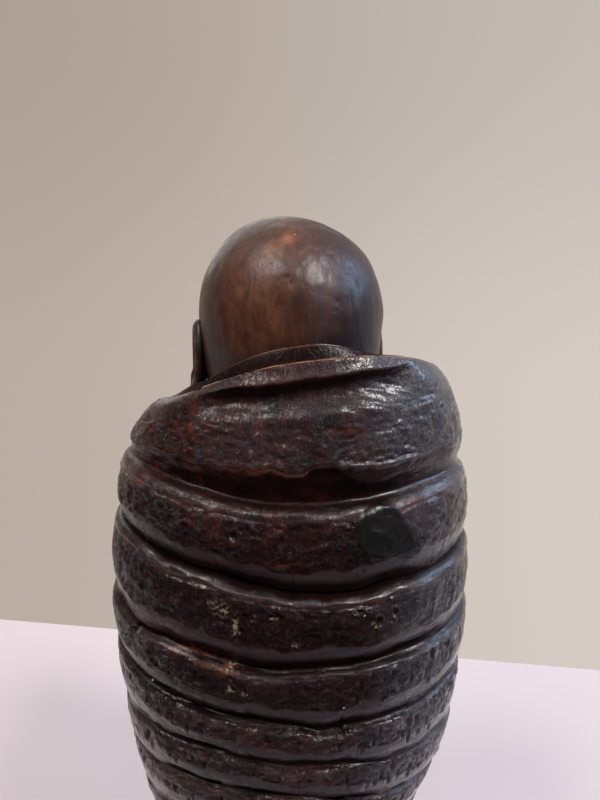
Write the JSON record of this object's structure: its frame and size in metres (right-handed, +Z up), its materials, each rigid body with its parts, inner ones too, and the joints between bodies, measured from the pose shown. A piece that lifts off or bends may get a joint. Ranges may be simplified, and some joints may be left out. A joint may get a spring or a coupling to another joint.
{
  "type": "bamboo root carving",
  "caption": "Robed, bald-headed monk carved from a swollen bamboo root with ringed nodes and a wide collar, resting on a low turned hardwood stand.",
  "frame": {"origin": "centre of the stand's underside, on the surface it rests on", "axes": "+Z up, the figure faces -Y, its own left side is +X"},
  "size_m": [0.1284, 0.1336, 0.2818],
  "materials": {
    "bamboo_root": "aged, dark red-brown to near black, with a satin patina and worn orange-brown edges",
    "stand_wood": "dark hardwood, satin"
  },
  "bodies": {
    "root": {"carved_figure": "bamboo_root", "wooden_stand": "stand_wood"}
  },
  "joints": []
}
